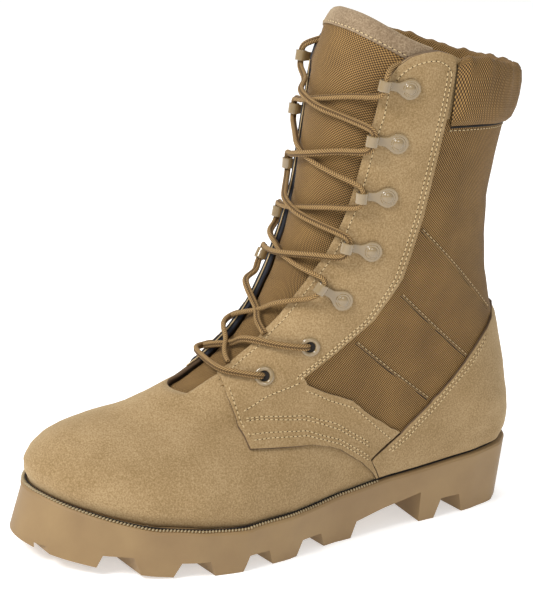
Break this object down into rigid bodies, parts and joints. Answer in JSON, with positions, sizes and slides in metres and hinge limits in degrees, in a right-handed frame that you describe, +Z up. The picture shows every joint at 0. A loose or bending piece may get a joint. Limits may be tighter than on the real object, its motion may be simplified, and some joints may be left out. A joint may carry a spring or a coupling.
{
  "type": "jungle boot",
  "caption": "Tall lace-up jungle boot with suede and nylon upper, padded cuff, speed hooks, eyelets and a deep-lugged rubber sole.",
  "frame": {"origin": "on the ground under the middle of the boot's length and width", "axes": "+Z up, toe towards -Y, heel towards +Y, the outer (left) side towards +X"},
  "size_m": [0.1128, 0.305, 0.2928],
  "materials": {
    "rubber": "matte",
    "suede": "matte",
    "nylon": "matte",
    "lining": "matte",
    "lace_cord": "matte",
    "painted_metal": "satin",
    "binding": "matte"
  },
  "bodies": {
    "root": {"sole": "rubber", "insole": "lining", "upper": "nylon", "tongue": "nylon", "tongue_binding": "binding", "quarter_outer": "suede", "quarter_inner": "suede", "counter": "suede", "cuff": "nylon", "lace_hooks": "lace_cord", "lace_upper_eyelets": "lace_cord", "lace_lower_bar": "lace_cord", "hook_outer_1": "painted_metal", "hook_outer_2": "painted_metal", "hook_outer_3": "painted_metal", "hook_outer_4": "painted_metal", "hook_outer_5": "painted_metal", "hook_inner_1": "painted_metal", "hook_inner_2": "painted_metal", "hook_inner_3": "painted_metal", "hook_inner_4": "painted_metal", "hook_inner_5": "painted_metal", "eyelet_outer_1": "painted_metal", "eyelet_outer_2": "painted_metal", "eyelet_inner_1": "painted_metal", "eyelet_inner_2": "painted_metal"}
  },
  "joints": []
}
